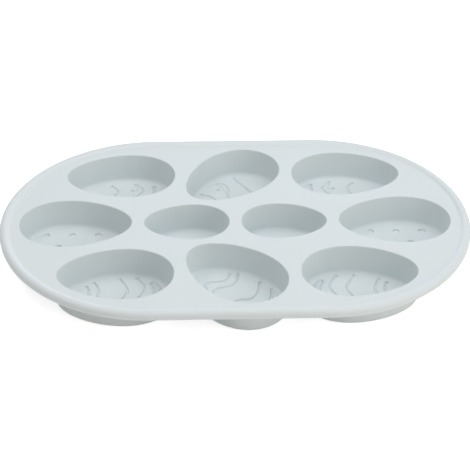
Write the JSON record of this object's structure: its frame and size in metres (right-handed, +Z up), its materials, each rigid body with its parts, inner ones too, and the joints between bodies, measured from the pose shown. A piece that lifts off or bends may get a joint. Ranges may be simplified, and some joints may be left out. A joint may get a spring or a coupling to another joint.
{
  "type": "egg-shaped silicone cake mould",
  "caption": "Soft silicone baking mould: egg-shaped cups hang from a flat web inside a round bead, with waves, stripes and dots sunk in the cup floors.",
  "frame": {"origin": "middle of the mould, on the plane that the undersides of the cups stand on", "axes": "+X along the length, +Z up out of the cup mouths, -Y towards the user"},
  "size_m": [0.3114, 0.202, 0.0247],
  "materials": {
    "silicone": "satin, pale grey-blue silicone rubber"
  },
  "bodies": {
    "root": {"rim_bead": "silicone", "web": "silicone", "cup_back_left": "silicone", "cup_back_centre": "silicone", "cup_back_right": "silicone", "cup_outer_left": "silicone", "cup_small_left": "silicone", "cup_small_right": "silicone", "cup_outer_right": "silicone", "cup_front_left": "silicone", "cup_front_centre": "silicone", "cup_front_right": "silicone"}
  },
  "joints": []
}
